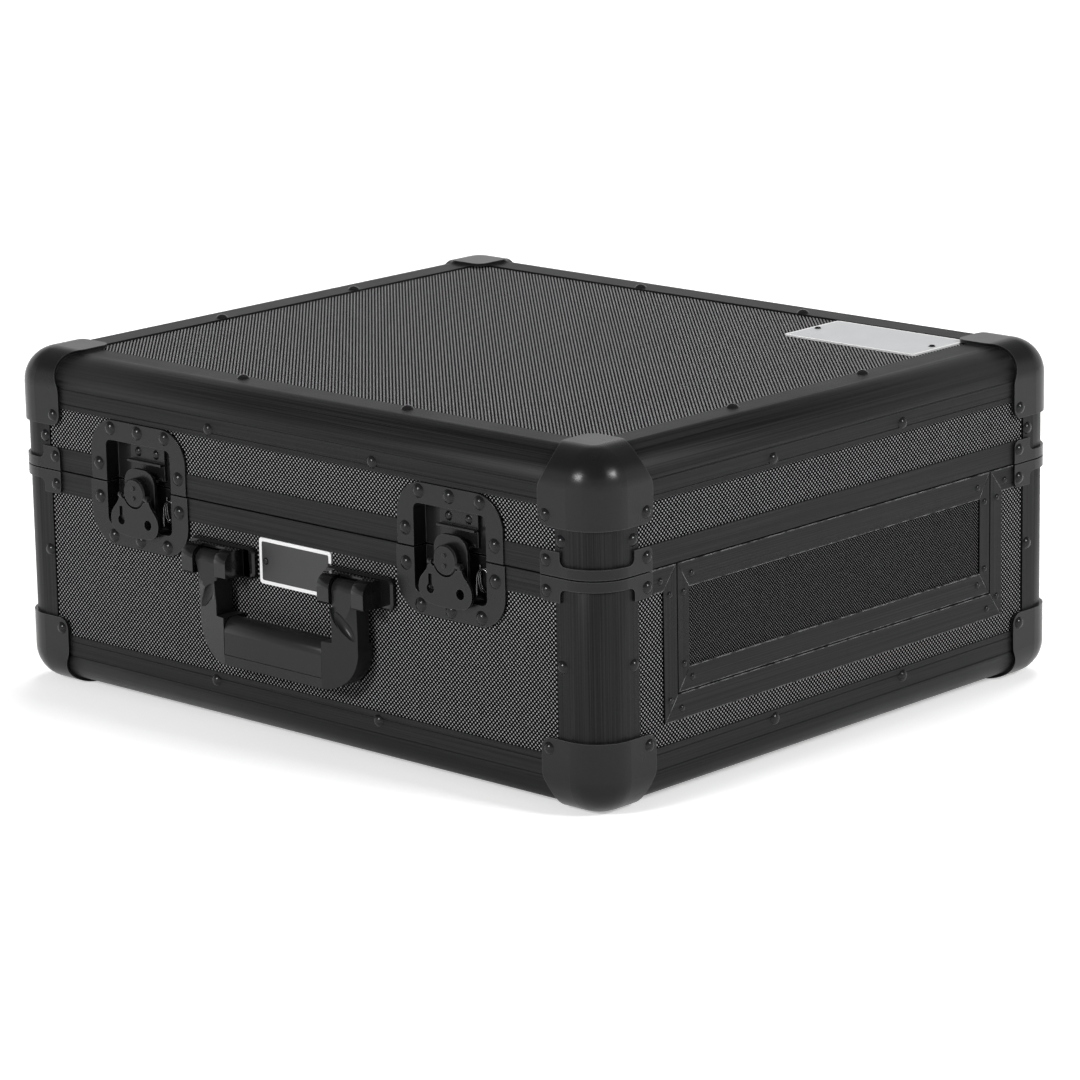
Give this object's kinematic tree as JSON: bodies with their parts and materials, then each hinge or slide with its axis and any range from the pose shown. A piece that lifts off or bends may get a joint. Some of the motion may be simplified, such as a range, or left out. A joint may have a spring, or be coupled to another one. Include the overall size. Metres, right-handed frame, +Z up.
{
  "type": "dj controller flight case",
  "caption": "Black board flight case with rounded extrusion edges, ball corners, twist latches, swing handle, hinged lid and a lift-out side access panel.",
  "frame": {"origin": "middle of the overall box, on the floor", "axes": "+X right along the front with the latches and the handle, +Y into the depth towards the hinges, +Z up"},
  "size_m": [0.4882, 0.4388, 0.2078],
  "materials": {
    "black_anodised": "black anodised aluminium extrusion, brushed lengthwise",
    "laminate": "dark grey laminate with fine light dots in diagonal rows",
    "black_steel": "satin black plated and coated steel pressings",
    "black_rivet": "black domed rivets",
    "gloss_black": "glossy black moulding",
    "satin_black": "satin black moulding",
    "label_face": "dark plate with a white border, bare",
    "nameplate_face": "brushed silver grey plate with a lighter border, bare",
    "spring_steel": "bright wire",
    "foam": "dark grey open-cell foam"
  },
  "bodies": {
    "tray": {"access_frame_jambs": "black_anodised", "access_frame_sill": "black_anodised", "front_label_plate": "label_face", "handle_bracket_left": "gloss_black", "handle_bracket_right": "gloss_black", "handle_pins": "black_steel", "hinge_pins": "black_steel", "hinge_tray_leaves": "black_steel", "latch_left_dish_lower": "black_steel", "latch_left_spring": "spring_steel", "latch_right_dish_lower": "black_steel", "latch_right_spring": "spring_steel", "tray_back_panel": "laminate", "tray_ball_corners": "black_steel", "tray_base_edges": "black_anodised", "tray_base_panel": "laminate", "tray_corner_braces": "black_steel", "tray_corner_posts": "black_anodised", "tray_floor_foam": "foam", "tray_front_panel": "laminate", "tray_left_panel": "laminate", "tray_right_panel": "laminate", "tray_rim_bars": "black_anodised", "tray_rivets": "black_rivet", "tray_side_rim_bars": "black_anodised", "tray_wall_foam": "foam"},
    "lid": {"hinge_lid_leaves": "black_steel", "latch_left_dish_upper": "black_steel", "latch_left_keeper": "black_steel", "latch_right_dish_upper": "black_steel", "latch_right_keeper": "black_steel", "lid_back_panel": "laminate", "lid_ball_corners": "black_steel", "lid_corner_braces": "black_steel", "lid_corner_posts": "black_anodised", "lid_foam": "foam", "lid_front_panel": "laminate", "lid_left_panel": "laminate", "lid_name_plate": "nameplate_face", "lid_right_panel": "laminate", "lid_rim_bars": "black_anodised", "lid_rivets": "black_rivet", "lid_top_edges": "black_anodised", "lid_top_panel": "laminate"},
    "access_panel": {"access_panel_board": "laminate", "access_panel_bottom_bar": "black_anodised", "access_panel_rivets": "black_rivet", "access_panel_side_bars": "black_anodised", "access_panel_top_bar": "black_anodised"},
    "handle": {"handle_frame": "satin_black", "handle_grip": "satin_black"},
    "latch_left_hook": {"latch_left_hook": "black_steel"},
    "latch_left_boss": {"latch_left_boss": "black_steel"},
    "latch_left_wing": {"latch_left_wing": "black_steel"},
    "latch_right_hook": {"latch_right_hook": "black_steel"},
    "latch_right_boss": {"latch_right_boss": "black_steel"},
    "latch_right_wing": {"latch_right_wing": "black_steel"}
  },
  "joints": [
    {"name": "lid_hinge", "type": "hinge", "parent": "tray", "child": "lid", "pos_m": [0, 0.21445, 0.136], "axis": [-1, 0, 0], "range_deg": [0, 100]},
    {"name": "access_panel_lift", "type": "slide", "parent": "tray", "child": "access_panel", "axis": [0, 0, 1], "range_m": [0, 0.0612]},
    {"name": "handle_swing", "type": "hinge", "parent": "tray", "child": "handle", "pos_m": [0, -0.21095, 0.105], "axis": [-1, 0, 0], "range_deg": [0, 90]},
    {"name": "latch_left_turn", "type": "hinge", "parent": "tray", "child": "latch_left_boss", "pos_m": [-0.1285, -0.20255, 0.1332], "axis": [0, 1, 0], "range_deg": [0, 180]},
    {"name": "latch_left_draw", "type": "slide", "parent": "tray", "child": "latch_left_hook", "axis": [0, 0, 1], "range_m": [0, 0.005]},
    {"name": "latch_left_wing_fold", "type": "hinge", "parent": "latch_left_boss", "child": "latch_left_wing", "pos_m": [-0.1285, -0.20605, 0.131], "axis": [-1, 0, 0], "range_deg": [0, 90]},
    {"name": "latch_right_turn", "type": "hinge", "parent": "tray", "child": "latch_right_boss", "pos_m": [0.1285, -0.20255, 0.1332], "axis": [0, 1, 0], "range_deg": [0, 180]},
    {"name": "latch_right_draw", "type": "slide", "parent": "tray", "child": "latch_right_hook", "axis": [0, 0, 1], "range_m": [0, 0.005]},
    {"name": "latch_right_wing_fold", "type": "hinge", "parent": "latch_right_boss", "child": "latch_right_wing", "pos_m": [0.1285, -0.20605, 0.131], "axis": [-1, 0, 0], "range_deg": [0, 90]}
  ],
  "couplings": [
    {"joint": "access_panel_lift", "follows": "lid_hinge", "m_per_rad": 0.035},
    {"joint": "latch_left_draw", "follows": "latch_left_turn", "m_per_rad": 0.00159},
    {"joint": "latch_right_draw", "follows": "latch_right_turn", "m_per_rad": 0.00159}
  ]
}
